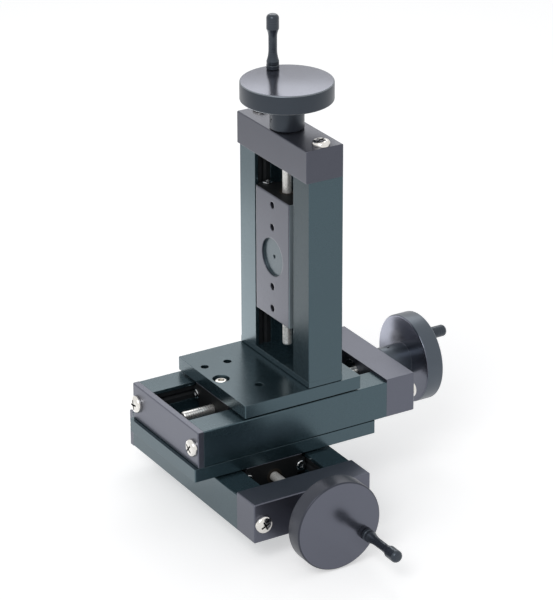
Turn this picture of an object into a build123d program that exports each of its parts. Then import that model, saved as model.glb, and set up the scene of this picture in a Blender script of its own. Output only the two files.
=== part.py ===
"""Three-axis linear translation stage: three identical hand-driven slides stacked as X, Y and Z.

Millimetres, +Z up. The origin is the middle of the lower slide's channel, on its underside.

Each slide is modelled once in its own frame: x along the travel with the drive block at +x,
y across, z from the channel's underside towards its open face, and x = 0 at the middle of the
channel. The three copies are then placed on their planes.
"""
from build123d import *
from math import sqrt
import os

os.makedirs("parts", exist_ok=True)

# Channel: the fixed body of a slide
channel_length = 101.6
channel_width = 63.5
channel_height = 18.6
floor_thickness = 5.0
edge_break = 0.4

# Closing plate at the far end and block at the drive end
end_plate_thickness = 3.2
block_length = 15.9
block_height = 20.0
end_screw_margin = 4.75
end_screw_height = 9.3
end_screw_thread_depth = 8.0
end_hole_depth = 10.0

# Crossed-roller slideway
roller_count = 9
roller_diameter = 2.4
roller_pitch = 4.0
roller_line = 17.5
roller_height = 13.4
roller_clearance = 0.02
roller_end_play = 0.1
rail_height = 7.0
rail_thickness = 4.0
rail_gap = 1.0
rail_setback = 0.5
relief_width = 0.5
cage_thickness = 0.6
cage_height = 5.0
cage_end_margin = 3.0
window_clearance = 0.15

# Carriage
carriage_width = 30.5
carriage_rise = 1.0
carriage_floor_gap = 0.8
inner_hole_spacing = 30.6
outer_hole_margin = 5.15
tapped_radius = 1.75
tapped_depth = 4.0
recess_diameter = 19.0
recess_depth = 1.2
centre_mark_diameter = 2.0
centre_mark_depth = 1.0

# Stop screws that keep the cages between the carriage's ends
stop_head_diameter = 5.2
stop_head_height = 1.0
stop_shank_diameter = 1.2
stop_shank_length = 4.0
stop_screw_line = 14.7

# Lead screw, its nut and its bearings
screw_height = 11.3
screw_diameter = 4.76
screw_end_gap = 0.5
running_clearance = 0.05
tunnel_diameter = 6.0
nut_diameter = 8.0
nut_length = 14.0
bearing_diameter = 12.7
bearing_length = 5.0
shoulder_diameter = 8.0

# Handwheel
wheel_diameter = 44.4
wheel_thickness = 9.3
wheel_rim_chamfer = 0.6
hub_diameter = 16.4
hub_length = 13.9
hub_gap = 0.3
wheel_bore_depth = 18.0
set_screw_diameter = 3.0
set_screw_offset = 5.0
set_screw_sink = 0.6

# Revolving handle
crank_radius = 17.0
pin_diameter = 3.0
pin_depth = 6.0
collar_diameter = 6.2
collar_height = 2.4
spindle_diameter = 2.4
spindle_length = 18.0
bead_diameter = 2.9
bead_length = 0.8
handle_gap = 0.2
handle_length = 24.4
handle_foot_diameter = 6.0
handle_foot_height = 1.4
handle_waist_diameter = 4.1
handle_waist_start = 7.0
handle_waist_end = 13.0
handle_grip_diameter = 6.0
handle_grip_start = 17.2
handle_end_radius = 2.0

# Pan-head fixing screws
pan_head_diameter = 8.6
pan_head_height = 2.6
pan_head_chamfer = 1.2
clearance_radius = 2.1

# Adapter plates between the slides
plate_overhang = 0.25
plate_thickness = 6.6
lower_plate_length = 100.0
lower_plate_shift = 6.7
counterbore_radius = 4.15
counterbore_depth = 3.9
cap_head_radius = 3.1
cap_head_height = 3.2
plate_screw_grip = 3.6

# Base screws, through the channel's floor
base_pitch_along = 76.2
base_pitch_across = 18.0
base_counterbore_depth = 3.2
base_head_radius = 3.5
base_head_height = 3.0
base_counterbore_radius = 3.8
base_screw_grip = 5.0

# Spare tapped holes in the upper plate
spare_hole_radius = 2.0
spare_pair_shift = -14.4
spare_pair_spacing = 30.0
spare_hole_margin = 5.2
spare_hole_offset = 15.4
column_counterbore_depth = 4.0

# How the slides are stacked, and where their carriages stand at rest
middle_shift = 12.6
column_shift = 21.75
lower_rest = 0.0
middle_rest = 3.55
upright_rest = 2.7
lower_crank_angle = -28.7
middle_crank_angle = 0.8
upright_crank_angle = -8.2

# Worked out from the sizes above
channel_end = channel_length / 2
carriage_length = channel_width
carriage_end = carriage_length / 2
outer_hole_spacing = carriage_length - 2 * outer_hole_margin
plate_width = channel_width + 2 * plate_overhang
end_screw_spread = channel_width - 2 * end_screw_margin
carriage_top = channel_height + carriage_rise
carriage_bottom = floor_thickness + carriage_floor_gap
rail_top = roller_height + rail_height / 2
base_rail_face = roller_line + rail_gap / 2
carriage_rail_face = roller_line - rail_gap / 2
slot_width = 2 * (base_rail_face - rail_setback)
body_half_width = carriage_rail_face - rail_thickness
groove_side = roller_diameter + 2 * roller_clearance
groove_reach = groove_side / sqrt(2)
cage_length = (roller_count - 1) * roller_pitch + roller_diameter + 2 * cage_end_margin
block_face = channel_end + block_length
hub_start = block_face + hub_gap
wheel_back = hub_start + hub_length
wheel_face = wheel_back + wheel_thickness
stack_height = carriage_top + plate_thickness

# Planes that look out of the two ends of a slide, with sketch x across and sketch y up
drive_end = Plane(origin=(channel_end, 0, 0), x_dir=(0, 1, 0), z_dir=(1, 0, 0))
far_end = Plane(origin=(-channel_end, 0, 0), x_dir=(0, -1, 0), z_dir=(-1, 0, 0))
end_screw_places = [(-end_screw_spread / 2, end_screw_height), (end_screw_spread / 2, end_screw_height)]


def make_channel():
    """U-shaped body with a seat in each wall for a V rail, and counterbored base holes."""
    with BuildPart() as channel:
        with BuildSketch(Plane.YZ.offset(-channel_end)):
            outline = Rectangle(channel_width, channel_height, align=(Align.CENTER, Align.MIN))
            chamfer(outline.vertices(), edge_break)
            with Locations((0, floor_thickness)):
                Rectangle(slot_width, channel_height, align=(Align.CENTER, Align.MIN), mode=Mode.SUBTRACT)
            with Locations((0, roller_height)):
                Rectangle(2 * (base_rail_face + rail_thickness), rail_height, mode=Mode.SUBTRACT)
        extrude(amount=channel_length)
        for end in (drive_end, far_end):
            with Locations(end):
                with Locations(*end_screw_places):
                    Hole(tapped_radius, depth=end_hole_depth)
        with Locations((0, 0, floor_thickness)):
            with GridLocations(base_pitch_along, base_pitch_across, 2, 2):
                CounterBoreHole(clearance_radius, base_counterbore_radius, base_counterbore_depth)
    return channel.part


def make_end_plate():
    """Thin plate that closes the far end."""
    with BuildPart() as end_plate:
        with BuildSketch(far_end):
            Rectangle(channel_width, channel_height, align=(Align.CENTER, Align.MIN))
        extrude(amount=end_plate_thickness)
        chamfer(end_plate.faces().sort_by(Axis.X)[0].edges(), edge_break)
        with Locations(far_end.offset(end_plate_thickness)):
            with Locations(*end_screw_places):
                Hole(clearance_radius)
    return end_plate.part


def make_drive_block():
    """End block, bored through for the two screw bearings."""
    with BuildPart() as drive_block:
        with BuildSketch(drive_end):
            outline = Rectangle(channel_width, block_height, align=(Align.CENTER, Align.MIN))
            chamfer(outline.vertices(), edge_break)
        extrude(amount=block_length)
        chamfer(drive_block.faces().sort_by(Axis.X)[-1].edges(), edge_break)
        with Locations(drive_end.offset(block_length)):
            with Locations((0, screw_height)):
                Hole(bearing_diameter / 2)
            with Locations(*end_screw_places):
                Hole(clearance_radius)
    return drive_block.part


def make_pan_screws(seat, shank_length):
    """Two pan-head screws whose heads bear on the seat plane, with their shanks behind it."""
    with BuildPart() as pan_screws:
        with BuildSketch(seat):
            with Locations(*end_screw_places):
                Circle(pan_head_diameter / 2)
        extrude(amount=pan_head_height)
        chamfer(pan_screws.faces().sort_by(Axis((0, 0, 0), seat.z_dir))[-2:].edges(), pan_head_chamfer)
        with BuildSketch(seat):
            with Locations(*end_screw_places):
                Circle(tapped_radius)
        extrude(amount=-shank_length)
    return pan_screws.part


def make_rails(inner_face, outer_face, length):
    """A mirrored pair of V rails, with a relief slot at the bottom of each groove."""
    with BuildPart() as rails:
        with BuildSketch(Plane.YZ.offset(-length / 2)):
            with Locations(((inner_face + outer_face) / 2, roller_height)):
                Rectangle(outer_face - inner_face, rail_height)
            with Locations((roller_line, roller_height)):
                Rectangle(groove_side, groove_side, rotation=45, mode=Mode.SUBTRACT)
                Rectangle(2 * groove_reach, relief_width, mode=Mode.SUBTRACT)
        extrude(amount=length)
        mirror(about=Plane.XZ)
    return rails.part


def make_base_rails():
    """Rails let into the channel's walls."""
    return make_rails(base_rail_face, base_rail_face + rail_thickness, channel_length)


def make_carriage_rails():
    """Rails on the carriage's sides, bored at both ends for the stop screws."""
    rails = make_rails(body_half_width, carriage_rail_face, carriage_length)
    with BuildPart() as carriage_rails:
        add(rails)
        for end in (drive_end, far_end):
            with Locations(end.offset(carriage_end - channel_end)):
                with Locations((-stop_screw_line, roller_height), (stop_screw_line, roller_height)):
                    Hole(stop_shank_diameter / 2, depth=stop_shank_length)
    return carriage_rails.part


def make_stop_screws():
    """Four flat-headed screws whose heads overlap the ends of the cages' paths."""
    with BuildPart() as stop_screws:
        for end in (drive_end, far_end):
            with BuildSketch(end.offset(carriage_end - channel_end)):
                with Locations((-stop_screw_line, roller_height), (stop_screw_line, roller_height)):
                    Circle(stop_head_diameter / 2)
            extrude(amount=stop_head_height)
            with BuildSketch(end.offset(carriage_end - channel_end)):
                with Locations((-stop_screw_line, roller_height), (stop_screw_line, roller_height)):
                    Circle(stop_shank_diameter / 2)
            extrude(amount=-stop_shank_length)
    return stop_screws.part


def make_roller_cages():
    """Two strips in the gaps between the rails, with a window for each roller."""
    with BuildPart() as cages:
        with BuildSketch(Plane.XZ.offset(-roller_line - cage_thickness / 2)):
            with Locations((0, roller_height)):
                Rectangle(cage_length, cage_height)
                with GridLocations(roller_pitch, 0, roller_count, 1):
                    Rectangle(
                        roller_diameter + 2 * window_clearance,
                        2 * groove_reach + 2 * window_clearance,
                        mode=Mode.SUBTRACT,
                    )
        extrude(amount=cage_thickness)
        mirror(about=Plane.XZ)
    return cages.part


def make_rollers():
    """Crossed rollers: each one's axis is turned by 90 degrees from its neighbours'."""
    first = -(roller_count - 1) * roller_pitch / 2
    with BuildPart() as rollers:
        for index in range(roller_count):
            tilt = 45 if index % 2 else -45
            with Locations(Location((first + index * roller_pitch, roller_line, roller_height), (tilt, 0, 0))):
                Cylinder(roller_diameter / 2, roller_diameter - roller_end_play)
        mirror(about=Plane.XZ)
    return rollers.part


def make_carriage():
    """Sliding block: a wide top over a narrower body that the carriage rails sit against."""
    with BuildPart() as carriage:
        with BuildSketch(Plane.YZ.offset(-carriage_end)):
            with Locations((0, rail_top)):
                Rectangle(carriage_width, carriage_top - rail_top, align=(Align.CENTER, Align.MIN))
            with Locations((0, carriage_bottom)):
                Rectangle(2 * body_half_width, rail_top - carriage_bottom, align=(Align.CENTER, Align.MIN))
            with Locations((0, screw_height)):
                Circle(tunnel_diameter / 2, mode=Mode.SUBTRACT)
        extrude(amount=carriage_length)
        top = carriage.faces().sort_by(Axis.Z)[-1]
        chamfer(top.edges(), edge_break)
        with Locations(drive_end.offset(carriage_end - channel_end)):
            with Locations((0, screw_height)):
                Hole(nut_diameter / 2, depth=nut_length)
        with Locations((0, 0, carriage_top)):
            with GridLocations(inner_hole_spacing, 0, 2, 1):
                Hole(tapped_radius, depth=tapped_depth)
            with GridLocations(outer_hole_spacing, 0, 2, 1):
                Hole(tapped_radius, depth=tapped_depth)
            CounterBoreHole(
                centre_mark_diameter / 2,
                recess_diameter / 2,
                recess_depth,
                depth=recess_depth + centre_mark_depth,
            )
    return carriage.part


def make_lead_nut():
    """Bronze bush that the lead screw works in."""
    with BuildPart() as lead_nut:
        with BuildSketch(drive_end.offset(carriage_end - channel_end)):
            with Locations((0, screw_height)):
                Circle(nut_diameter / 2)
                Circle(screw_diameter / 2 + running_clearance, mode=Mode.SUBTRACT)
        extrude(amount=-nut_length)
    return lead_nut.part


def make_screw_bearings():
    """Two bearings, one at each face of the drive block."""
    with BuildPart() as bearings:
        for inner_end in (channel_end, block_face - bearing_length):
            with BuildSketch(Plane.YZ.offset(inner_end)):
                with Locations((0, screw_height)):
                    Circle(bearing_diameter / 2)
                    Circle(screw_diameter / 2 + running_clearance, mode=Mode.SUBTRACT)
            extrude(amount=bearing_length)
    return bearings.part


def make_lead_screw():
    """Lead screw with a shoulder that is held between the two bearings."""
    start = -channel_end + screw_end_gap
    finish = hub_start + wheel_bore_depth
    shoulder_start = channel_end + bearing_length + running_clearance
    shoulder_finish = block_face - bearing_length - running_clearance
    with BuildPart() as lead_screw:
        with BuildSketch(Plane.YZ.offset(start)):
            with Locations((0, screw_height)):
                Circle(screw_diameter / 2)
        extrude(amount=finish - start)
        with BuildSketch(Plane.YZ.offset(shoulder_start)):
            with Locations((0, screw_height)):
                Circle(shoulder_diameter / 2)
        extrude(amount=shoulder_finish - shoulder_start)
    return lead_screw.part


def make_handwheel():
    """Solid disc and hub, with a blind bore, a set-screw hole and a hole for the handle's pin."""
    with BuildPart() as handwheel:
        with BuildSketch(Plane.YZ.offset(hub_start)):
            with Locations((0, screw_height)):
                Circle(hub_diameter / 2)
        extrude(amount=hub_length)
        with BuildSketch(Plane.YZ.offset(wheel_back)):
            with Locations((0, screw_height)):
                Circle(wheel_diameter / 2)
        extrude(amount=wheel_thickness)
        rim = handwheel.edges().filter_by(GeomType.CIRCLE).group_by(SortBy.RADIUS)[-1]
        chamfer(rim, wheel_rim_chamfer)
        with Locations(Plane(origin=(hub_start, 0, screw_height), x_dir=(0, -1, 0), z_dir=(-1, 0, 0))):
            Hole(screw_diameter / 2, depth=wheel_bore_depth)
        with Locations((hub_start + set_screw_offset, 0, screw_height + hub_diameter / 2)):
            Hole(set_screw_diameter / 2, depth=hub_diameter / 2)
        with Locations(Plane.YZ.offset(wheel_face)):
            with Locations((crank_radius, screw_height)):
                Hole(pin_diameter / 2, depth=pin_depth)
    return handwheel.part


def make_wheel_set_screw():
    """Set screw in the hub, tight on the lead screw."""
    bottom = screw_height + screw_diameter / 2
    top = screw_height + hub_diameter / 2 - set_screw_sink
    with BuildPart() as set_screw:
        with BuildSketch(Plane.XY.offset(bottom)):
            with Locations((hub_start + set_screw_offset, 0)):
                Circle(set_screw_diameter / 2)
        extrude(amount=top - bottom)
    return set_screw.part


def handle_plane(height):
    """Plane at a height above the wheel's face, on the handle's axis."""
    return Plane(origin=(wheel_face + height, crank_radius, screw_height), x_dir=(0, 1, 0), z_dir=(1, 0, 0))


def make_handle_pin():
    """Pin in the wheel with a collar, a spindle and a bead that keeps the handle on."""
    spindle_top = collar_height + spindle_length
    with BuildPart() as handle_pin:
        with BuildSketch(handle_plane(-pin_depth)):
            Circle(pin_diameter / 2)
        extrude(amount=pin_depth)
        with BuildSketch(handle_plane(0)):
            Circle(collar_diameter / 2)
        extrude(amount=collar_height)
        collar_edges = handle_pin.edges().filter_by(GeomType.CIRCLE).group_by(SortBy.RADIUS)[-1]
        chamfer(collar_edges, edge_break)
        with BuildSketch(handle_plane(collar_height)):
            Circle(spindle_diameter / 2)
        extrude(amount=spindle_length)
        with BuildSketch(handle_plane(spindle_top - bead_length)):
            Circle(bead_diameter / 2)
        extrude(amount=bead_length)
    return handle_pin.part


def make_crank_handle():
    """Turned handle: flared foot, thin waist and a fat rounded end, bored to spin on the spindle."""
    bore = spindle_diameter / 2 + running_clearance
    recess = bead_diameter / 2 + running_clearance
    bore_top = spindle_length + 2 * running_clearance
    recess_start = spindle_length - bead_length - running_clearance - handle_gap
    waist = handle_waist_diameter / 2
    grip = handle_grip_diameter / 2
    with BuildPart() as crank_handle:
        with BuildSketch(Plane.XZ) as section:
            with BuildLine():
                base = Line((bore, 0), (handle_foot_diameter / 2, 0))
                foot = Line(base @ 1, (handle_foot_diameter / 2, handle_foot_height))
                neck = Line((waist, handle_waist_start), (waist, handle_waist_end))
                TangentArc(neck @ 0, foot @ 1, tangent=(0, -1))
                swell = TangentArc(neck @ 1, (grip, handle_grip_start), tangent=(0, 1))
                side = Line(swell @ 1, (grip, handle_length - handle_end_radius))
                crown = JernArc(side @ 1, (0, 1), handle_end_radius, 90)
                Polyline(
                    crown @ 1,
                    (0, handle_length),
                    (0, bore_top),
                    (recess, bore_top),
                    (recess, recess_start),
                    (bore, recess_start),
                    base @ 0,
                )
            make_face()
        revolve(axis=Axis.Z)
    foot_plane = handle_plane(collar_height + handle_gap)
    return foot_plane.location * crank_handle.part


def make_cap_screw(places, head_radius, head_height, shank_length):
    """Cap screws at the given planes, with their heads on the plane and their shanks below it."""
    with BuildPart() as cap_screws:
        for place in places:
            with BuildSketch(place):
                Circle(head_radius)
            extrude(amount=head_height)
            with BuildSketch(place):
                Circle(tapped_radius)
            extrude(amount=-shank_length)
    return cap_screws.part


def save(part, name):
    part.label = name
    export_step(part, f"parts/{name}.step")


# One slide's pieces, grouped by what they move with.
fixed_pieces = {
    "channel": make_channel(),
    "end_plate": make_end_plate(),
    "end_plate_screws": make_pan_screws(
        far_end.offset(end_plate_thickness), end_plate_thickness + end_screw_thread_depth
    ),
    "drive_block": make_drive_block(),
    "drive_block_screws": make_pan_screws(
        drive_end.offset(block_length), block_length + end_screw_thread_depth
    ),
    "screw_bearings": make_screw_bearings(),
    "base_rails": make_base_rails(),
}
saddle_pieces = {
    "carriage": make_carriage(),
    "carriage_rails": make_carriage_rails(),
    "rail_stop_screws": make_stop_screws(),
    "lead_nut": make_lead_nut(),
}
cage_pieces = {
    "roller_cages": make_roller_cages(),
    "rollers": make_rollers(),
}
turning_pieces = {
    "lead_screw": make_lead_screw(),
    "handwheel": make_handwheel(),
    "wheel_set_screw": make_wheel_set_screw(),
    "handle_pin": make_handle_pin(),
    "crank_handle": make_crank_handle(),
}

# The slides' planes: x along the travel, z towards the open face.
upper_plate_centre = middle_shift + middle_rest
column_back = upper_plate_centre + column_shift
column_foot = 2 * stack_height
lower_plane = Plane(origin=(0, 0, 0), x_dir=(0, -1, 0), z_dir=(0, 0, 1))
middle_plane = Plane(origin=(middle_shift, 0, stack_height), x_dir=(1, 0, 0), z_dir=(0, 0, 1))
upright_plane = Plane(
    origin=(column_back, 0, column_foot + end_plate_thickness + channel_end),
    x_dir=(0, 0, 1),
    z_dir=(-1, 0, 0),
)
slides = {
    "lower": (lower_plane, lower_rest, lower_crank_angle),
    "middle": (middle_plane, middle_rest, middle_crank_angle),
    "upright": (upright_plane, upright_rest, upright_crank_angle),
}

for slide_name, (plane, rest, crank_angle) in slides.items():
    to_axis = Location((0, 0, screw_height))
    turned = to_axis * Location((0, 0, 0), (crank_angle, 0, 0)) * to_axis.inverse()
    for piece_name, piece in fixed_pieces.items():
        # The upright slide's end plate is held by the column screws instead.
        if (slide_name, piece_name) != ("upright", "end_plate_screws"):
            save(plane.location * piece, f"{slide_name}_{piece_name}")
    for piece_name, piece in saddle_pieces.items():
        save(plane.location * Location((rest, 0, 0)) * piece, f"{slide_name}_{piece_name}")
    for piece_name, piece in cage_pieces.items():
        save(plane.location * Location((rest / 2, 0, 0)) * piece, f"{slide_name}_{piece_name}")
    for piece_name, piece in turning_pieces.items():
        save(plane.location * turned * piece, f"{slide_name}_{piece_name}")

# Lower plate: long, on the lower carriage, under the middle channel.
lower_screw_places = [(0, -outer_hole_spacing / 2 - lower_rest), (0, outer_hole_spacing / 2 - lower_rest)]
with BuildPart() as lower_plate:
    with BuildSketch(Plane.XY.offset(carriage_top)):
        with Locations((lower_plate_shift, -lower_rest)):
            Rectangle(lower_plate_length, plate_width)
    extrude(amount=plate_thickness)
    chamfer(lower_plate.edges().filter_by(Axis.Z), edge_break)
    with Locations((0, 0, stack_height)):
        with Locations(*lower_screw_places):
            CounterBoreHole(clearance_radius, counterbore_radius, counterbore_depth)
        with Locations((middle_shift, 0)):
            with GridLocations(base_pitch_along, base_pitch_across, 2, 2):
                Hole(tapped_radius, depth=base_screw_grip)
save(lower_plate.part, "lower_plate")

plate_shank = plate_thickness - counterbore_depth + plate_screw_grip
plate_seat = stack_height - counterbore_depth
lower_plate_screws = make_cap_screw(
    [Plane((x, y, plate_seat)) for x, y in lower_screw_places], cap_head_radius, cap_head_height, plate_shank
)
save(lower_plate_screws, "lower_plate_screws")

base_seat = stack_height + floor_thickness - base_counterbore_depth
base_places = [
    Plane((middle_shift + along * base_pitch_along / 2, across * base_pitch_across / 2, base_seat))
    for along in (-1, 1)
    for across in (-1, 1)
]
middle_base_screws = make_cap_screw(
    base_places, base_head_radius, base_head_height, floor_thickness - base_counterbore_depth + base_screw_grip
)
save(middle_base_screws, "middle_base_screws")

# Upper plate: square, on the middle carriage, under the column.
upper_plate_bottom = stack_height + carriage_top
column_screw_x = column_back - end_screw_height
upper_screw_places = [
    (upper_plate_centre - outer_hole_spacing / 2, 0),
    (upper_plate_centre + outer_hole_spacing / 2, 0),
]
with BuildPart() as upper_plate:
    with BuildSketch(Plane.XY.offset(upper_plate_bottom)):
        with Locations((upper_plate_centre, 0)):
            Rectangle(plate_width, plate_width)
    extrude(amount=plate_thickness)
    chamfer(upper_plate.edges().filter_by(Axis.Z), edge_break)
    with Locations((0, 0, column_foot)):
        with Locations(*upper_screw_places):
            CounterBoreHole(clearance_radius, counterbore_radius, counterbore_depth)
        with Locations((upper_plate_centre + spare_pair_shift, 0)):
            with GridLocations(0, spare_pair_spacing, 1, 2):
                Hole(spare_hole_radius)
        with Locations((upper_plate_centre - plate_width / 2 + spare_hole_margin, spare_hole_offset)):
            Hole(spare_hole_radius)
    with Locations(Plane(origin=(column_screw_x, 0, upper_plate_bottom), x_dir=(1, 0, 0), z_dir=(0, 0, -1))):
        with GridLocations(0, end_screw_spread, 1, 2):
            CounterBoreHole(clearance_radius, counterbore_radius, column_counterbore_depth)
save(upper_plate.part, "upper_plate")

upper_plate_screws = make_cap_screw(
    [Plane((x, y, column_foot - counterbore_depth)) for x, y in upper_screw_places],
    cap_head_radius,
    cap_head_height,
    plate_shank,
)
save(upper_plate_screws, "upper_plate_screws")

column_places = [
    Plane(
        origin=(column_screw_x, side * end_screw_spread / 2, upper_plate_bottom + column_counterbore_depth),
        x_dir=(1, 0, 0),
        z_dir=(0, 0, -1),
    )
    for side in (-1, 1)
]
column_shank = plate_thickness - column_counterbore_depth + end_plate_thickness + end_screw_thread_depth
column_screws = make_cap_screw(column_places, cap_head_radius, cap_head_height, column_shank)
save(column_screws, "column_screws")
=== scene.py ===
"""Look of the three-axis translation stage: finer meshes, materials, light and camera."""
from math import cos, hypot, pi, radians, sin

import bmesh
import bpy
from mathutils import Matrix, Vector

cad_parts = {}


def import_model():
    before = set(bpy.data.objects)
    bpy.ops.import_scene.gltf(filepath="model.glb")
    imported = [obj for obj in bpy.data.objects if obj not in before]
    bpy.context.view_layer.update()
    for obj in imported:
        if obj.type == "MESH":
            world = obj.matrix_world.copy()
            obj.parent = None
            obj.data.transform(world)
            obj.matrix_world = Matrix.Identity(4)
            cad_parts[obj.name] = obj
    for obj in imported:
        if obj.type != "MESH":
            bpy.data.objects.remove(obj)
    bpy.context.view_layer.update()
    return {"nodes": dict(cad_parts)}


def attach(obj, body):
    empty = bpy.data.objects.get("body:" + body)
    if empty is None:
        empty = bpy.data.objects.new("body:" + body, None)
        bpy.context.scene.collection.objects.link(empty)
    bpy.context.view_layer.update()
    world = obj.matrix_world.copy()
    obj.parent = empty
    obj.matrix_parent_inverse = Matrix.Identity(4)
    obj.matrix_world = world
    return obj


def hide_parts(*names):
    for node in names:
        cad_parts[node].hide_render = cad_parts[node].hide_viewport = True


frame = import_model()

MM = 0.001

# Sizes in millimetres, in each slide's own frame: x along the travel, y across, z up.
AXIS_HEIGHT = 11.3
AXIS = (0.0, AXIS_HEIGHT)
CHANNEL_HALF = 50.8
END_PLATE = 3.2
BLOCK_FACE = 66.7

CARRIAGE_HALF = 31.75
RECESS_RADIUS = 9.52
RECESS_RIM = 19.2
CARRIAGE_FACE = 18.9
LIP_START = 15.0
STOP_Y = 14.7
STOP_Z = 13.4

SCREW_RADIUS = 2.38
ROD_RADIUS = SCREW_RADIUS - 0.01
THREAD_PITCH = 1.27
THREAD_DEPTH = 0.045
THREAD_SHAPE = ((0.0, 0.0), (0.4, 0.0), (0.65, THREAD_DEPTH), (0.75, THREAD_DEPTH))
SCREW_TIP = -44.6
TIP_FILLET = 1.0
THREAD_START = SCREW_TIP + 1.4
THREAD_END = CHANNEL_HALF - 0.6
COLLAR_START, COLLAR_END, COLLAR_RADIUS = 55.85, 61.65, 4.0
SCREW_END = 84.9

HUB_START = 67.0
HUB_RADIUS = 8.2
HUB_CHAMFER = 0.4
WHEEL_BACK = HUB_START + 13.9
WHEEL_FACE = WHEEL_BACK + 9.3
WHEEL_RADIUS = 22.195
WHEEL_FILLET = 0.8
WHEEL_BORE_DEPTH = 18.0
HUB_ZONE = 9.0
RIM_ZONE = 21.0
CRANK_RADIUS = 17.0
PIN_HOLE_RADIUS = 1.5
PIN_HOLE_DEPTH = 6.0
SET_SCREW_X = HUB_START + 5.0
SET_SCREW_RADIUS = 1.495
SET_SCREW_HOLE = 1.5
SET_SCREW_TOP = 8.05

END_SCREW_Y = 27.0
END_SCREW_Z = 9.3
PLATE_SCREW_REACH = 26.6
PLATE_SEAT_DEPTH = 3.9
BASE_SCREW_X = 38.1
BASE_SCREW_Y = 9.0
BASE_SEAT_HEIGHT = 1.8
SHANK_RADIUS = 1.72

SMOOTH_ANGLE = radians(35)

# Each slide's place in the part, where its carriage rests (mm), its crank's angle (degrees), the
# body that carries it, how strongly each finish mirrors (its IOR), and how steep a face of the
# wheel's edge, from 0 on the rim to 1 on the disc, still gets the rim's finish. The IORs differ
# from slide to slide to make the same finish lighter or darker where the light falls differently:
# painted sheen and shade. The rim's reach on the lower wheel paints its edge dark: painted shade.
SLIDES = {
    "lower": {
        "axes": ((0, -1, 0), (1, 0, 0), (0, 0, 1)), "origin": (0, 0, 0),
        "rest": 0.0, "crank": -28.7, "base": "lower_base",
        "teal": 1.87, "sheen": 2.12, "disc": 2.14, "rim": 1.58, "rim_from": 0.985,
    },
    "middle": {
        "axes": ((1, 0, 0), (0, 1, 0), (0, 0, 1)), "origin": (12.6, 0, 26.2),
        "rest": 3.55, "crank": 0.8, "base": "lower_saddle",
        "teal": 1.93, "sheen": 2.18, "disc": 2.46, "rim": 1.94, "rim_from": 0.5,
    },
    "upright": {
        "axes": ((0, 0, 1), (0, 1, 0), (-1, 0, 0)), "origin": (37.9, 0, 106.4),
        "rest": 2.7, "crank": -8.2, "base": "middle_saddle",
        "teal": 1.91, "sheen": 1.83, "disc": 2.26, "rim": 1.58, "rim_from": 0.9,
    },
}
MIDDLE_X, _, SLIDE_HEIGHT = SLIDES["middle"]["origin"]


def slide_matrix(slide):
    """From the slide's own frame to the part's, both in millimetres."""
    matrix = Matrix(SLIDES[slide]["axes"]).transposed().to_4x4()
    matrix.translation = SLIDES[slide]["origin"]
    return matrix


def pin_centre(slide):
    """The handle's axis, as (y, z) in the slide's frame."""
    crank = radians(SLIDES[slide]["crank"])
    return (CRANK_RADIUS * cos(crank), AXIS_HEIGHT + CRANK_RADIUS * sin(crank))


def set_screw_matrix(slide):
    """Puts a shape along +x from the wheel's axis out through the hub's wall."""
    crank = radians(SLIDES[slide]["crank"])
    turn = Matrix.Translation((SET_SCREW_X, 0.0, AXIS_HEIGHT))
    return turn @ Matrix.Rotation(crank, 4, "X") @ Matrix.Rotation(-pi / 2, 4, "Y")


# ---------------------------------------------------------------- mesh helpers

def add_object(name, data):
    item = bpy.data.objects.new(name, data)
    bpy.context.scene.collection.objects.link(item)
    return item


def mesh_from(name, bm):
    """Turns a bmesh into mesh data, and frees it."""
    mesh = bpy.data.meshes.new(name)
    bm.to_mesh(mesh)
    bm.free()
    return mesh


def add_piece(name, mesh, body, node):
    """Puts a mesh in the scene, riding on a body, in place of a CAD node."""
    piece = add_object(name, mesh)
    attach(piece, body)
    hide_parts(node)
    return piece


def finish_piece(name, bm, matrix, body, finishes, node):
    """Makes a piece in metres from a mesh in millimetres."""
    bmesh.ops.transform(bm, matrix=Matrix.Scale(MM, 4) @ matrix, verts=bm.verts)
    bmesh.ops.remove_doubles(bm, verts=bm.verts, dist=1e-7)
    bmesh.ops.dissolve_degenerate(bm, edges=bm.edges, dist=1e-7)
    bmesh.ops.recalc_face_normals(bm, faces=bm.faces)
    for face in bm.faces:
        face.smooth = True
    for edge in bm.edges:
        edge.smooth = len(edge.link_faces) == 2 and edge.calc_face_angle(0) < SMOOTH_ANGLE
    mesh = mesh_from(name, bm)
    for finish in finishes:
        mesh.materials.append(finish)
    return add_piece(name, mesh, body, node)


def ring_point(x, radius, step, segments, centre):
    angle = 2 * pi * step / segments
    return (x, centre[0] + radius * cos(angle), centre[1] + radius * sin(angle))


def revolve(bm, profile, segments, centre=(0.0, 0.0)):
    """Turns (x, radius) points about the x axis through the centre (y, z), with closed ends."""
    rings = []
    for x, radius in profile:
        if radius < 1e-6:
            rings.append([bm.verts.new((x, *centre))])
        else:
            points = [ring_point(x, radius, step, segments, centre) for step in range(segments)]
            rings.append([bm.verts.new(point) for point in points])
    for first, second in zip(rings, rings[1:]):
        if len(first) == 1 and len(second) == 1:
            continue
        for step in range(segments):
            after = (step + 1) % segments
            if len(first) == 1:
                bm.faces.new((first[0], second[after], second[step]))
            elif len(second) == 1:
                bm.faces.new((first[step], first[after], second[0]))
            else:
                bm.faces.new((first[step], first[after], second[after], second[step]))
    for ring in (rings[0], rings[-1]):
        if len(ring) > 1:
            bm.faces.new(ring)


def arc(cx, cr, radius, start, end, steps):
    """Points (x, r) on an arc, angles in degrees from the +x direction towards +r."""
    points = []
    for step in range(steps + 1):
        angle = radians(start + (end - start) * step / steps)
        points.append((cx + radius * cos(angle), cr + radius * sin(angle)))
    return points


def bore(low, high, radius, segments, centre=(0.0, 0.0)):
    """A round cutter along x."""
    tool = bmesh.new()
    revolve(tool, [(low, 0.0), (low, radius), (high, radius), (high, 0.0)], segments, centre)
    return tool


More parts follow.
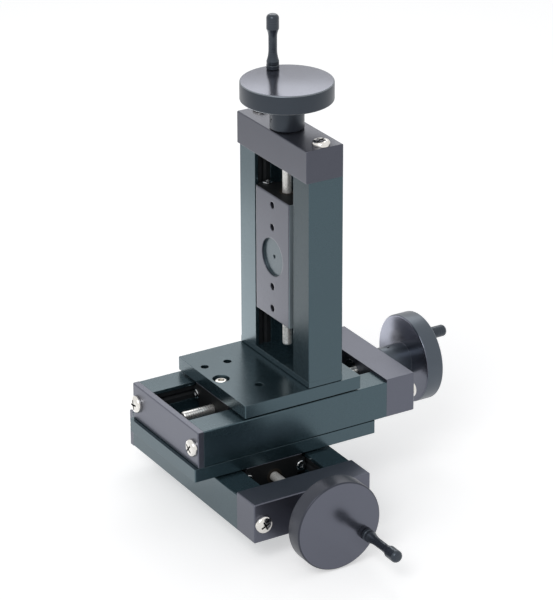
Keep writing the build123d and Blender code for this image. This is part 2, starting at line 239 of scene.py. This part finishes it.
def prism(outline, low, high, end_scale=1.0):
    """A prism along x from an outline of (y, z) points; its far end may be scaled."""
    bm = bmesh.new()
    near = [bm.verts.new((low, y, z)) for y, z in outline]
    far = [bm.verts.new((high, y * end_scale, z * end_scale)) for y, z in outline]
    count = len(outline)
    for step in range(count):
        after = (step + 1) % count
        bm.faces.new((near[step], near[after], far[after], far[step]))
    bm.faces.new(near[::-1])
    bm.faces.new(far)
    return bm


def cut(bm, cutter):
    """Subtracts one mesh from another with Blender's exact solver."""
    objects = []
    for label, source in (("cut_body", bm), ("cut_tool", cutter)):
        bmesh.ops.recalc_face_normals(source, faces=source.faces)
        objects.append(add_object(label, mesh_from(label, source)))
    body, tool = objects
    modifier = body.modifiers.new("cut", "BOOLEAN")
    modifier.operation = "DIFFERENCE"
    modifier.solver = "EXACT"
    modifier.object = tool
    bpy.context.view_layer.update()
    result = body.evaluated_get(bpy.context.evaluated_depsgraph_get()).to_mesh()
    fresh = bmesh.new()
    fresh.from_mesh(result)
    for item in objects:
        mesh = item.data
        bpy.data.objects.remove(item)
        bpy.data.meshes.remove(mesh)
    return fresh


def copies(source, placements):
    """One mesh made of transformed copies of another."""
    out = bmesh.new()
    mesh = mesh_from("copy_source", source)
    for placement in placements:
        first = len(out.verts)
        out.from_mesh(mesh)
        out.verts.ensure_lookup_table()
        bmesh.ops.transform(out, matrix=placement, verts=out.verts[first:])
    bpy.data.meshes.remove(mesh)
    return out


# ---------------------------------------------------------------- shader helpers

class Net:
    """Small builder for the nodes of a material or a world."""

    def __init__(self, owner):
        self.owner = owner
        self.owner.use_nodes = True
        self.tree = self.owner.node_tree
        self.tree.nodes.clear()

    def feed(self, socket, value):
        if isinstance(value, bpy.types.NodeSocket):
            self.tree.links.new(value, socket)
        else:
            socket.default_value = value

    def node(self, kind, inputs=None, **settings):
        item = self.tree.nodes.new(kind)
        for key, value in settings.items():
            setattr(item, key, value)
        for key, value in (inputs or {}).items():
            self.feed(item.inputs[key], value)
        return item

    def local(self, slide):
        """The slide's own coordinates, in millimetres."""
        matrix = slide_matrix(slide)
        inputs = {
            "Vector": self.node("ShaderNodeTexCoord").outputs["Object"],
            "Location": matrix.to_translation() * MM,
            "Rotation": matrix.to_3x3().to_euler(),
            "Scale": (MM, MM, MM),
        }
        return self.node("ShaderNodeMapping", inputs, vector_type="TEXTURE").outputs[0]

    def vector_math(self, operation, first, second):
        return self.node("ShaderNodeVectorMath", {0: first, 1: second}, operation=operation)

    def stretch(self, vector, scale):
        return self.vector_math("MULTIPLY", vector, scale).outputs[0]

    def noise(self, vector, scale, detail=3.0, rough=0.5):
        inputs = {"Vector": vector, "Scale": scale, "Detail": detail, "Roughness": rough}
        return self.node("ShaderNodeTexNoise", inputs).outputs["Fac"]

    def spread(self, value, low, high, from_low=0.3, from_high=0.7):
        inputs = {
            "Value": value, "From Min": from_low, "From Max": from_high, "To Min": low, "To Max": high,
        }
        return self.node("ShaderNodeMapRange", inputs).outputs[0]

    def math(self, operation, first, second=0.0):
        return self.node("ShaderNodeMath", {0: first, 1: second}, operation=operation).outputs[0]

    def blend(self, factor, first, second):
        """A mix of two colours, whose sockets on the Mix node are 6 and 7."""
        item = self.node("ShaderNodeMix", data_type="RGBA")
        for index, value in ((0, factor), (6, first), (7, second)):
            self.feed(item.inputs[index], value)
        return item.outputs[2]

    def bump(self, height, depth, edge):
        """Normals of a bumpy surface, its depth and the radius of its edges in millimetres."""
        inputs = {"Height": height, "Distance": depth * MM, "Normal": self.soft_edges(edge)}
        return self.node("ShaderNodeBump", inputs).outputs[0]

    def soft_edges(self, radius):
        """Normals that round the edges by a radius in millimetres."""
        return self.node("ShaderNodeBevel", {"Radius": radius * MM}, samples=6).outputs[0]

    def edge_mask(self, radius):
        """1 along worn edges, 0 elsewhere."""
        flat = self.node("ShaderNodeNewGeometry").outputs["True Normal"]
        dot = self.vector_math("DOT_PRODUCT", self.soft_edges(radius), flat).outputs["Value"]
        return self.spread(self.math("SUBTRACT", 1.0, dot), 0.0, 1.0, 0.02, 0.25)

    def seen(self):
        """1 for rays that show or mirror what they meet, 0 for those that only light."""
        paths = self.node("ShaderNodeLightPath").outputs
        sharp = self.math("MAXIMUM", paths["Is Camera Ray"], paths["Is Glossy Ray"])
        return self.math("MAXIMUM", sharp, paths["Is Transmission Ray"])

    def background(self, colour, strength):
        inputs = {"Color": colour, "Strength": strength}
        return self.node("ShaderNodeBackground", inputs).outputs[0]

    def mix_shader(self, factor, first, second):
        return self.node("ShaderNodeMixShader", {0: factor, 1: first, 2: second}).outputs[0]

    def surface(self, base, roughness, normal, **values):
        """The principled shader: sockets fed by nodes, then constants set on the sockets."""
        links = {"Base Color": base, "Roughness": roughness, "Normal": normal}
        shader = self.node("ShaderNodeBsdfPrincipled", links)
        for key, value in values.items():
            shader.inputs[key.replace("_", " ")].default_value = value
        self.node("ShaderNodeOutputMaterial", {"Surface": shader.outputs[0]})
        return self.owner


def rgba(red, green, blue):
    return (red, green, blue, 1.0)


def tone(colour, factor):
    """The colour, lighter or darker by a factor."""
    return rgba(*[channel * factor for channel in colour])


def dye(net, colour, cloud, marks, tones, marks_share, wear, bare):
    """A cloudy dye, lighter along the tool marks and rubbed bare where edges are worn."""
    dark, light, marked = tones
    base = net.blend(net.spread(cloud, 0.0, 1.0), tone(colour, dark), tone(colour, light))
    base = net.blend(net.spread(marks, 0.0, marks_share), base, tone(colour, marked))
    return net.blend(net.math("MULTIPLY", net.edge_mask(0.35), wear), base, bare)


# ---------------------------------------------------------------- finishes

def anodised(name, slide, colour, tint, rough, ior, grain_axis=0, edge=0.25):
    """Dyed anodised aluminium: fine blasted grain, faint mill lines and slightly worn edges."""
    net = Net(bpy.data.materials.new(name))
    local = net.local(slide)
    scale = [3.2, 3.2, 3.2]
    scale[grain_axis] = 0.05
    lines = net.noise(net.stretch(local, scale), 1.0, 2.0)
    grain = net.noise(local, 5.5, 2.0, 0.6)
    cloud = net.noise(local, 0.035, 4.0, 0.6)
    fingers = net.noise(net.stretch(local, (0.4, 1.0, 1.0)), 0.12, 5.0, 0.65)
    wear = net.spread(fingers, 0.0, 0.55, 0.45, 0.7)
    base = dye(net, colour, cloud, lines, (0.86, 1.16, 1.35), 0.22, wear, rgba(0.20, 0.21, 0.22))
    roughness = net.math(
        "ADD", net.spread(cloud, rough - 0.02, rough + 0.03), net.spread(grain, -0.025, 0.025)
    )
    height = net.math(
        "ADD", net.math("MULTIPLY", grain, 0.55), net.math("MULTIPLY", lines, 0.45)
    )
    normal = net.bump(height, 0.004, edge)
    return net.surface(base, roughness, normal, IOR=ior, Specular_Tint=rgba(*tint))


def turned(name, slide, colour, tint, rough, ior, centre=AXIS):
    """Dyed aluminium off a lathe: rings on the faces, fine feed lines on the rims."""
    net = Net(bpy.data.materials.new(name))
    local = net.local(slide)
    offset = net.vector_math("SUBTRACT", local, (0.0, *centre)).outputs[0]
    x, y, z = net.node("ShaderNodeSeparateXYZ", {0: offset}).outputs
    radius = net.math("SQRT", net.math("ADD", net.math("MULTIPLY", y, y), net.math("MULTIPLY", z, z)))
    rings = net.noise(net.node("ShaderNodeCombineXYZ", {0: radius, 1: x}).outputs[0], 4.0, 2.0, 0.6)
    grain = net.noise(local, 6.0, 2.0, 0.6)
    cloud = net.noise(local, 0.06, 4.0, 0.6)
    wear = net.spread(cloud, 0.1, 0.5)
    base = dye(net, colour, cloud, rings, (0.88, 1.14, 1.4), 0.25, wear, rgba(0.20, 0.20, 0.22))
    roughness = net.math(
        "ADD", net.spread(cloud, rough - 0.02, rough + 0.02), net.spread(rings, -0.02, 0.03)
    )
    height = net.math("ADD", net.math("MULTIPLY", grain, 0.3), net.math("MULTIPLY", rings, 0.7))
    normal = net.bump(height, 0.003, 0.25)
    return net.surface(base, roughness, normal, IOR=ior, Specular_Tint=rgba(*tint))


def metal(name, colour, rough, grain, slide="lower", stretch=(1.0, 1.0, 1.0), depth=0.003,
          darken=0.75, metallic=1.0):
    """Bare metal: uneven polish, fine scratches and a little grime."""
    net = Net(bpy.data.materials.new(name))
    local = net.local(slide)
    lines = net.noise(net.stretch(local, stretch), grain, 3.0, 0.6)
    cloud = net.noise(local, 0.25, 3.0, 0.6)
    base = net.blend(net.spread(cloud, 0.0, 1.0), tone(colour, darken), rgba(*colour))
    roughness = net.math(
        "ADD", net.spread(lines, rough - 0.04, rough + 0.06), net.spread(cloud, 0.04, -0.03)
    )
    return net.surface(base, roughness, net.bump(lines, depth, 0.08), Metallic=metallic)


def pocket_painted_shade(name, slide, colour):
    """Metal down in the channel, coloured near black as painted shade for the dark pockets: oiled, with
    grinding lines along the travel, hardly shiny.
    """
    net = Net(bpy.data.materials.new(name))
    local = net.local(slide)
    lines = net.noise(net.stretch(local, (0.05, 3.0, 3.0)), 1.0, 3.0, 0.6)
    cloud = net.noise(local, 0.3, 3.0, 0.6)
    base = net.blend(net.spread(cloud, 0.0, 1.0), tone(colour, 0.7), rgba(*colour))
    roughness = net.math("ADD", net.spread(lines, 0.56, 0.68), net.spread(cloud, 0.03, -0.03))
    return net.surface(base, roughness, net.bump(lines, 0.004, 0.1), IOR=1.27)


TEAL, TEAL_TINT = (0.011, 0.021, 0.026), (0.60, 0.87, 1.0)
PURPLE, PURPLE_TINT = (0.021, 0.022, 0.028), (0.77, 0.81, 1.0)
RIM, RIM_TINT, LOWER_RIM_TINT = (0.018, 0.021, 0.027), (0.72, 0.85, 1.0), (0.78, 0.81, 1.0)
RECESS, RECESS_TINT = (0.028, 0.044, 0.050), (0.72, 0.88, 1.0)
# Light colour for the upright carriage's sides down in the gap by the lips: painted light.
PAINTED_LIGHT_SIDE = (0.20, 0.24, 0.26)
# Pale colour for the upright wheel's front edge: a painted highlight.
PAINTED_EDGE_HIGHLIGHT = (0.16, 0.17, 0.18)


def slide_finishes(slide):
    """The finishes of one slide, whose grain and tone follow its own direction and light."""
    data = SLIDES[slide]
    sheen = data["sheen"]
    rim_tint = LOWER_RIM_TINT if slide == "lower" else RIM_TINT
    return {
        "teal": anodised(f"teal_anodised_{slide}", slide, TEAL, TEAL_TINT, 0.25, data["teal"]),
        "across": anodised(
            f"dark_anodised_across_{slide}", slide, PURPLE, PURPLE_TINT, 0.29, sheen, grain_axis=1
        ),
        "along": anodised(
            f"dark_anodised_along_{slide}", slide, PURPLE, PURPLE_TINT, 0.29, sheen, edge=0.6
        ),
        "recess": anodised(f"recess_anodised_{slide}", slide, RECESS, RECESS_TINT, 0.27, sheen),
        # The upright carriage's sides are coloured light: painted light.
        "ground": anodised(f"carriage_side_painted_light_{slide}", slide, PAINTED_LIGHT_SIDE, TEAL_TINT, 0.33, 1.7),
        # The carriage's end faces are coloured near black: painted shade for the dark pocket.
        "shaded": pocket_painted_shade(f"carriage_end_painted_shade_{slide}", slide, (0.006, 0.007, 0.008)),
        "wheel": turned(f"wheel_anodised_{slide}", slide, PURPLE, PURPLE_TINT, 0.19, data["disc"]),
        "rim": turned(f"rim_anodised_{slide}", slide, RIM, rim_tint, 0.34, data["rim"]),
        # The wheel's pale front edge: a painted highlight.
        "edge": turned(f"wheel_edge_painted_highlight_{slide}", slide, PAINTED_EDGE_HIGHLIGHT, RIM_TINT, 0.3, 1.9),
        "handle": turned(
            f"handle_anodised_{slide}", slide, RIM, RIM_TINT, 0.26, 1.62, pin_centre(slide)
        ),
        # The rods are partly diffuse, the lower and upright ones more than the middle one, so that their
        # pale colour lifts them in the dim pockets: painted light.
        "rod": metal(
            f"screw_steel_{slide}", (0.88, 0.87, 0.84), 0.28, 3.0, slide, stretch=(0.2, 1.0, 1.0),
            depth=0.001, metallic=0.8 if slide == "middle" else 0.45,
        ),
        # The rails are coloured near black: painted shade for the dark channel.
        "rail": pocket_painted_shade(f"rail_steel_{slide}", slide, (0.014, 0.016, 0.018)),
    }


materials = {slide: slide_finishes(slide) for slide in SLIDES}
# A less reflective copy of the upright teal for the column's right-hand lip: painted shade.
materials["upright"]["painted_shade_lip"] = anodised("teal_anodised_painted_shade", "upright", TEAL, TEAL_TINT, 0.27, 1.5)
bright = metal("bright_screw", (0.80, 0.78, 0.74), 0.14, 3.0, darken=0.82)
# Dark colour for the walls of the screws' cross recess: painted shade.
recess_painted_shade = metal("screw_recess_painted_shade", (0.11, 0.11, 0.115), 0.45, 4.0)
black_steel = metal("black_screw", (0.05, 0.05, 0.055), 0.35, 4.0)
# The lead nut and roller cages, bronze and brass, are coloured near black: painted shade for the dark
# pockets they sit in.
bronze = pocket_painted_shade("bronze", "lower", (0.020, 0.016, 0.012))
brass_painted_shade = pocket_painted_shade("brass_cage", "lower", (0.030, 0.025, 0.015))
stop_steel = metal("stop_screw_steel", (0.50, 0.51, 0.52), 0.16, 3.0)
bearing_steel = metal("bearing_steel", (0.66, 0.66, 0.67), 0.2, 4.0)

# What each kind of node is finished with, on every slide: one of the slide's finishes by its
# name, or a material that all slides share.
LOOKS = {
    "channel": "teal", "end_plate": "across", "drive_block": "across", "carriage": "along",
    "handwheel": "wheel", "handle_pin": "handle", "crank_handle": "handle",
    "base_rails": "rail", "carriage_rails": "rail", "rollers": "rail", "lead_screw": "rod",
    "screw_bearings": bearing_steel, "lead_nut": bronze, "roller_cages": brass_painted_shade,
    "rail_stop_screws": stop_steel, "end_plate_screws": bright, "drive_block_screws": bright,
    "wheel_set_screw": black_steel,
}
OTHERS = {
    "lower_plate": materials["middle"]["teal"], "upper_plate": materials["middle"]["teal"],
    "lower_plate_screws": bright, "upper_plate_screws": bright,
    "middle_base_screws": black_steel, "column_screws": black_steel,
    "upright_end_plate": materials["upright"]["teal"],
}


def node_material(node):
    if node in OTHERS:
        return OTHERS[node]
    slide, kind = node.split("_", 1)
    look = LOOKS[kind]
    return materials[slide][look] if isinstance(look, str) else look


for node, item in frame["nodes"].items():
    item.data.materials.clear()
    item.data.materials.append(node_material(node))


# ---------------------------------------------------------------- carriages and column

def refinished(slide, node, name, body, finishes, pick):
    """A piece in its CAD shape, with each face's finish picked from its place in the slide's frame."""
    mesh = frame["nodes"][node].data.copy()
    mesh.materials.clear()
    for finish in finishes:
        mesh.materials.append(materials[slide][finish])
    to_slide = slide_matrix(slide).inverted() @ Matrix.Scale(1 / MM, 4)
    for face in mesh.polygons:
        along, across, up = to_slide @ face.center
        facing_up = (to_slide.to_3x3() @ face.normal).normalized().z > 0.9
        face.material_index = pick(along - SLIDES[slide]["rest"], across, up, facing_up)
    add_piece(name, mesh, body, node)


def carriage(slide):
    """Carriage block: teal in the recess, near black at the ends as painted shade, and the upright one's
    sides lighter as painted light.
    """
    finishes = ("along", "recess", "shaded", "ground")

    def pick(along, across, up, _facing_up):
        if hypot(along, across) < RECESS_RADIUS and up < RECESS_RIM:
            return finishes.index("recess")
        # End faces down in the pocket get the near-black finish: painted shade.
        if abs(along) > CARRIAGE_HALF - 0.2 and up < CARRIAGE_FACE:
            return finishes.index("shaded")
        # The upright carriage's sides get the light colour: painted light.
        side = abs(across) > LIP_START and slide == "upright"
        return finishes.index("ground" if side else "along")

    refinished(
        slide, f"{slide}_carriage", f"{slide}_carriage_block", f"{slide}_saddle",
        finishes, pick,
    )


def column():
    """The upright channel, whose right-hand lip has a less reflective copy of the teal finish, darker
    than the left: painted shade.
    """
    refinished(
        "upright", "upright_channel", "upright_column", "middle_saddle",
        ("teal", "painted_shade_lip"),
        lambda along, across, up, facing_up: 1 if facing_up and across < -LIP_START else 0,
    )


# ---------------------------------------------------------------- lead screw and handwheel

def thread(bm, segments):
    """A rolled thread: one strip that winds round the rod, squared off at both ends."""
    rows = []
    for turn in range(int((THREAD_END - THREAD_START) / THREAD_PITCH) + 2):
        for share, drop in THREAD_SHAPE:
            row = []
            for step in range(segments):
                x = THREAD_START - THREAD_PITCH + THREAD_PITCH * (turn + share + step / segments)
                x = min(max(x, THREAD_START), THREAD_END)
                row.append(bm.verts.new(ring_point(x, ROD_RADIUS - drop, step, segments, AXIS)))
            rows.append(row)
    for first, second in zip(rows, rows[1:]):
        for step in range(segments - 1):
            bm.faces.new((first[step], first[step + 1], second[step + 1], second[step]))
    next_turn = rows[len(THREAD_SHAPE):]
    for near, far, after, beyond in zip(rows, rows[1:], next_turn, next_turn[1:]):
        bm.faces.new((after[0], beyond[0], far[-1], near[-1]))
    bmesh.ops.remove_doubles(bm, verts=bm.verts, dist=1e-5)
    for edge in [edge for edge in bm.edges if not edge.link_faces]:
        bm.edges.remove(edge)


def lead_screw(slide):
    """Screw with a rolled thread from its rounded free end to the bearings' end."""
    bm = bmesh.new()
    segments = 40
    thread(bm, segments)
    core = ROD_RADIUS - THREAD_DEPTH - 0.02
    profile = [(THREAD_START, 0.0), (THREAD_START, core), (THREAD_END, core), (THREAD_END, 0.0)]
    revolve(bm, profile, 32, AXIS)
    tip_end = THREAD_START + 0.2
    profile = [(SCREW_TIP, 0.0)]
    profile += arc(SCREW_TIP + TIP_FILLET, ROD_RADIUS - TIP_FILLET, TIP_FILLET, 180, 90, 6)
    profile += [(tip_end, ROD_RADIUS), (tip_end, 0.0)]
    revolve(bm, profile, segments, AXIS)
    profile = [(THREAD_END, 0.0), (THREAD_END, ROD_RADIUS), (COLLAR_START, ROD_RADIUS)]
    profile += [(COLLAR_START, COLLAR_RADIUS), (COLLAR_END, COLLAR_RADIUS)]
    profile += [(COLLAR_END, ROD_RADIUS), (SCREW_END, ROD_RADIUS), (SCREW_END, 0.0)]
    revolve(bm, profile, segments, AXIS)
    finish_piece(
        f"{slide}_threaded_screw", bm, slide_matrix(slide), f"{slide}_screw",
        [materials[slide]["rod"]], f"{slide}_lead_screw",
    )


def handwheel(slide):
    """Disc and hub with rounded edges, and holes for the pin, the screw and the set screw."""
    bm = bmesh.new()
    fillet_radius = WHEEL_RADIUS - WHEEL_FILLET
    profile = [(HUB_START, 0.0), (HUB_START, HUB_RADIUS - HUB_CHAMFER)]
    profile += [(HUB_START + HUB_CHAMFER, HUB_RADIUS), (WHEEL_BACK, HUB_RADIUS)]
    profile += arc(WHEEL_BACK + WHEEL_FILLET, fillet_radius, WHEEL_FILLET, 180, 90, 8)
    profile += arc(WHEEL_FACE - WHEEL_FILLET, fillet_radius, WHEEL_FILLET, 90, 0, 8)
    profile += [(WHEEL_FACE, 0.0)]
    revolve(bm, profile, 160, AXIS)
    tool = bore(WHEEL_FACE - PIN_HOLE_DEPTH, WHEEL_FACE + 1.0, PIN_HOLE_RADIUS, 48, pin_centre(slide))
    screw_bore = [(HUB_START - 1.0, 0.0), (HUB_START - 1.0, SCREW_RADIUS)]
    screw_bore += [(HUB_START + WHEEL_BORE_DEPTH, SCREW_RADIUS), (HUB_START + WHEEL_BORE_DEPTH, 0.0)]
    revolve(tool, screw_bore, 48, AXIS)
    bm = cut(bm, tool)
    tool = bore(2.0, 10.0, SET_SCREW_HOLE, 40)
    bmesh.ops.transform(tool, matrix=set_screw_matrix(slide), verts=tool.verts)
    bm = cut(bm, tool)
    finishes = ("wheel", "rim", "edge")
    piece = finish_piece(
        f"{slide}_turned_wheel", bm, slide_matrix(slide), f"{slide}_screw",
        [materials[slide][finish] for finish in finishes], f"{slide}_handwheel",
    )
    axis = Vector(SLIDES[slide]["axes"][0])
    centre = slide_matrix(slide) @ Vector((0, 0, AXIS_HEIGHT)) * MM
    for face in piece.data.polygons:
        spoke = face.center - centre
        spoke -= axis * spoke.dot(axis)
        slope = abs(face.normal.dot(axis))
        hub_side = spoke.length < HUB_ZONE * MM and slope < 0.9
        rim_side = spoke.length > RIM_ZONE * MM and slope < SLIDES[slide]["rim_from"]
        if hub_side or rim_side:
            face.material_index = finishes.index("rim")
        # The upright wheel's front fillet gets the pale edge colour: a painted highlight.
        if rim_side and slide == "upright" and slope > 0.3:
            face.material_index = finishes.index("edge")


# ---------------------------------------------------------------- screws

def shank(length):
    """Profile of a screw's shank with a chamfered point, its seat at x = 0."""
    return [(-length, 0.0), (-length, 1.3), (-length + 0.4, SHANK_RADIUS)]


def hexagon(radius, low, high):
    """A six-sided socket's cutter along x."""
    outline = [(radius * cos(pi / 3 * step), radius * sin(pi / 3 * step)) for step in range(6)]
    return prism(outline, low, high)


def cross_punch():
    """A cross-shaped tapered punch, along -x into the head."""
    outline = []
    arm, half = 2.75, 0.52
    for quarter in range(4):
        angle = quarter * pi / 2
        for y, z in ((arm, -half), (arm, half), (half, half)):
            outline.append((y * cos(angle) - z * sin(angle), y * sin(angle) + z * cos(angle)))
    return prism(outline, 3.2, 0.5, 0.55)


def pan_head(shank_length):
    """One pan-head screw along +x, seat at x = 0, with a cross recess in its dome whose walls are
    coloured dark: painted shade.
    """
    bm = bmesh.new()
    profile = shank(shank_length)
    profile += [(-0.05, SHANK_RADIUS), (0.0, SHANK_RADIUS), (0.0, 4.15), (0.15, 4.3), (0.75, 4.3)]
    profile += arc(0.75, 2.75, 1.55, 90, 20, 7)
    profile += [(2.52, 2.4), (2.6, 1.2), (2.6, 0.0)]
    revolve(bm, profile, 56)
    bm = cut(bm, cross_punch())
    for face in bm.faces:
        middle = face.calc_center_median()
        walls = abs(face.normal.x) < 0.7 or middle.x < 1.0
        # The recess walls get the dark colour: painted shade.
        if walls and middle.x > 0.3 and hypot(middle.y, middle.z) < 2.8:
            face.material_index = 1
    return bm


def pan_screws(slide, place, seat, facing, shank_length, turns):
    """The two screws of an end plate or a drive block, each recess turned by some degrees."""
    placements = []
    for side, turn in zip((-1, 1), turns):
        shift = Matrix.Translation((seat, side * END_SCREW_Y, END_SCREW_Z))
        placements.append(shift @ facing @ Matrix.Rotation(radians(turn), 4, "X"))
    finish_piece(
        f"{slide}_{place}_pan_screws", copies(pan_head(shank_length), placements),
        slide_matrix(slide), SLIDES[slide]["base"], [bright, recess_painted_shade],
        f"{slide}_{place}_screws",
    )


def cap_screws(node, body, places, finish, head_radius, head_height, shank_length):
    """Upright domed cap screws with a hexagon socket, seat at each place."""
    bm = bmesh.new()
    dome = 1.5
    profile = shank(shank_length)
    profile += [(0.0, SHANK_RADIUS), (0.0, head_radius - 0.1), (0.1, head_radius - 0.02)]
    for step in range(9):
        angle = pi / 2 * step / 8
        rise = head_height - dome + dome * sin(angle)
        profile.append((rise, 1.95 + (head_radius - 1.97) * cos(angle)))
    profile += [(head_height, 0.0)]
    revolve(bm, profile, 56)
    bm = cut(bm, hexagon(1.75, head_height + 0.4, head_height - 1.7))
    upright = Matrix.Rotation(-pi / 2, 4, "Y")
    placements = [Matrix.Translation(place) @ upright for place in places]
    name = node.replace("_screws", "_socket_screws")
    finish_piece(name, copies(bm, placements), Matrix.Identity(4), body, [finish], node)


def set_screw(slide):
    """Socket set screw, almost flush with the hub."""
    bm = bmesh.new()
    profile = [(2.4, 0.0), (2.4, 1.2), (2.7, SET_SCREW_RADIUS)]
    profile += [(SET_SCREW_TOP - 0.1, SET_SCREW_RADIUS), (SET_SCREW_TOP, 1.4), (SET_SCREW_TOP, 0.0)]
    revolve(bm, profile, 40)
    bm = cut(bm, hexagon(0.65, 8.4, 7.2))
    bmesh.ops.transform(bm, matrix=set_screw_matrix(slide), verts=bm.verts)
    finish_piece(
        f"{slide}_socket_set_screw", bm, slide_matrix(slide), f"{slide}_screw",
        [materials[slide]["rim"]], f"{slide}_wheel_set_screw",
    )


def stop_screws(slide):
    """Flat-headed stop screws with a hexagon socket, two on each end of the carriage."""
    bm = bmesh.new()
    profile = [(-4.0, 0.0), (-4.0, 0.58), (0.0, 0.58), (0.0, 2.58), (0.7, 2.58), (0.98, 2.3), (0.98, 0.0)]
    revolve(bm, profile, 48)
    bm = cut(bm, hexagon(1.1, 1.4, 0.35))
    placements = []
    for end in (-1, 1):
        turn = Matrix.Rotation(0.0 if end > 0 else pi, 4, "Z")
        x = SLIDES[slide]["rest"] + end * CARRIAGE_HALF
        placements += [Matrix.Translation((x, side * STOP_Y, STOP_Z)) @ turn for side in (-1, 1)]
    finish_piece(
        f"{slide}_socket_stop_screws", copies(bm, placements), slide_matrix(slide),
        f"{slide}_saddle", [stop_steel], f"{slide}_rail_stop_screws",
    )


for slide in SLIDES:
    carriage(slide)
    lead_screw(slide)
    handwheel(slide)
    set_screw(slide)
    stop_screws(slide)
    pan_screws(slide, "drive_block", BLOCK_FACE, Matrix.Identity(4), 23.8, (25, 70))
    if slide != "upright":
        turned_round = Matrix.Rotation(pi, 4, "Z")
        pan_screws(slide, "end_plate", -CHANNEL_HALF - END_PLATE, turned_round, 11.1, (50, 10))
column()

upper_x = MIDDLE_X + SLIDES["middle"]["rest"]
upper_seat = 2 * SLIDE_HEIGHT - PLATE_SEAT_DEPTH
lower_seat = SLIDE_HEIGHT - PLATE_SEAT_DEPTH
upper_places = [(upper_x + side * PLATE_SCREW_REACH, 0, upper_seat) for side in (-1, 1)]
lower_places = [(0, side * PLATE_SCREW_REACH, lower_seat) for side in (-1, 1)]
cap_screws("upper_plate_screws", "middle_saddle", upper_places, bright, 3.75, 3.2, 6.2)
cap_screws("lower_plate_screws", "lower_saddle", lower_places, bright, 3.75, 3.2, 6.2)
base_places = [
    (MIDDLE_X + along * BASE_SCREW_X, across * BASE_SCREW_Y, SLIDE_HEIGHT + BASE_SEAT_HEIGHT)
    for along in (-1, 1) for across in (-1, 1)
]
cap_screws("middle_base_screws", "lower_saddle", base_places, black_steel, 3.5, 3.0, 6.7)


# ---------------------------------------------------------------- floor, light and camera

# The floor's sizes in millimetres; the strengths of its glow and of the sky's even light.
FLOOR_HEIGHT = -11.6
FLOOR_RADIUS = 9000
FLOOR_GLOW = 0.49
WORLD_LIGHT = 0.42
WHITE = rgba(1, 1, 1)


def floor():
    """Pale seamless floor just under the lowest handwheel, with finer rings near the part."""
    bm = bmesh.new()
    rings, steps = 24, 96
    centre = bm.verts.new((0, 0, FLOOR_HEIGHT))
    previous = None
    for ring in range(1, rings + 1):
        radius = FLOOR_RADIUS * (ring / rings) ** 2
        angles = [2 * pi * step / steps for step in range(steps)]
        row = [bm.verts.new((radius * cos(angle), radius * sin(angle), FLOOR_HEIGHT)) for angle in angles]
        for step in range(steps):
            after = (step + 1) % steps
            if previous is None:
                bm.faces.new((centre, row[step], row[after]))
            else:
                bm.faces.new((previous[step], row[step], row[after], previous[after]))
        previous = row
    bmesh.ops.transform(bm, matrix=Matrix.Scale(MM, 4), verts=bm.verts)
    item = add_object("studio_floor", mesh_from("studio_floor", bm))
    item.data.materials.append(floor_finish())


def floor_finish():
    """Matt and faintly mottled; it glows only where it is seen or mirrored."""
    net = Net(bpy.data.materials.new("studio_floor"))
    seen = net.seen()
    mottle = net.noise(net.node("ShaderNodeTexCoord").outputs["Object"], 6.0, 3.0)
    colour = net.blend(net.spread(mottle, 0.0, 1.0), rgba(0.80, 0.80, 0.80), rgba(0.82, 0.82, 0.82))
    diffuse = net.node("ShaderNodeBsdfDiffuse", {"Color": colour}).outputs[0]
    glow = net.node("ShaderNodeEmission", {"Color": WHITE, "Strength": FLOOR_GLOW}).outputs[0]
    both = net.node("ShaderNodeAddShader", {0: diffuse, 1: glow}).outputs[0]
    net.node("ShaderNodeOutputMaterial", {"Surface": net.mix_shader(seen, diffuse, both)})
    return net.owner


def world():
    """White where it is seen or mirrored, and a soft even light elsewhere."""
    sky = bpy.data.worlds.new("studio")
    bpy.context.scene.world = sky
    net = Net(sky)
    seen = net.seen()
    dim = net.background(rgba(0.97, 0.98, 1.0), WORLD_LIGHT)
    white = net.background(WHITE, 1.0)
    net.node("ShaderNodeOutputWorld", {"Surface": net.mix_shader(seen, dim, white)})


def softbox(name, place, rotation, width, height, watts):
    """A rectangular light, in metres, that the camera doesn't see."""
    data = bpy.data.lights.new(name, "AREA")
    data.shape = "RECTANGLE"
    data.size = width
    data.size_y = height
    data.energy = watts
    item = add_object(name, data)
    item.location = place
    item.rotation_euler = rotation
    item.visible_camera = False


def facing(place, target):
    return (Vector(target) - Vector(place)).to_track_quat("-Z", "Y").to_euler()


def lights():
    """A key, a panel behind, and two cards near the floor, facing up, that the -X sides mirror."""
    key, back = (-1.0, -0.8, 1.3), (0.31, 0.51, 0.65)
    softbox("key", key, facing(key, (0, 0, 0.06)), 0.9, 0.9, 10.0)
    softbox("back_panel", back, facing(back, (0, 0, 0.12)), 0.5, 0.45, 1.15)
    card_turn = (pi, 0, radians(26.6))
    softbox("far_card", (0.000, 0.237, -0.010), card_turn, 0.2, 0.26, 0.26)
    softbox("near_card", (-0.12, 0.09, -0.010), card_turn, 0.14, 0.20, 0.016)


def camera():
    """The photo's camera: its angles in degrees, its place in millimetres, its focus in pixels."""
    azimuth, pitch, roll = radians(-30.91), radians(24.23), radians(-0.19)
    place = Vector((-641.27, -1105.36, 666.09))
    focal_pixels, picture_height, sensor = 2957.54, 600.0, 36.0
    look = Vector((-sin(azimuth) * cos(pitch), cos(azimuth) * cos(pitch), -sin(pitch)))
    right = Vector((cos(azimuth), sin(azimuth), 0))
    up = right.cross(look)
    right, up = right * cos(roll) + up * sin(roll), up * cos(roll) - right * sin(roll)
    matrix = Matrix((right, up, -look)).transposed().to_4x4()
    matrix.translation = place * MM
    data = bpy.data.cameras.new("camera")
    data.sensor_width = sensor
    data.lens = focal_pixels * sensor / picture_height
    data.clip_start = 0.05
    data.clip_end = 50.0
    item = add_object("camera", data)
    item.matrix_world = matrix
    bpy.context.scene.camera = item


floor()
world()
lights()
camera()

scene = bpy.context.scene
scene.view_settings.view_transform = "Standard"
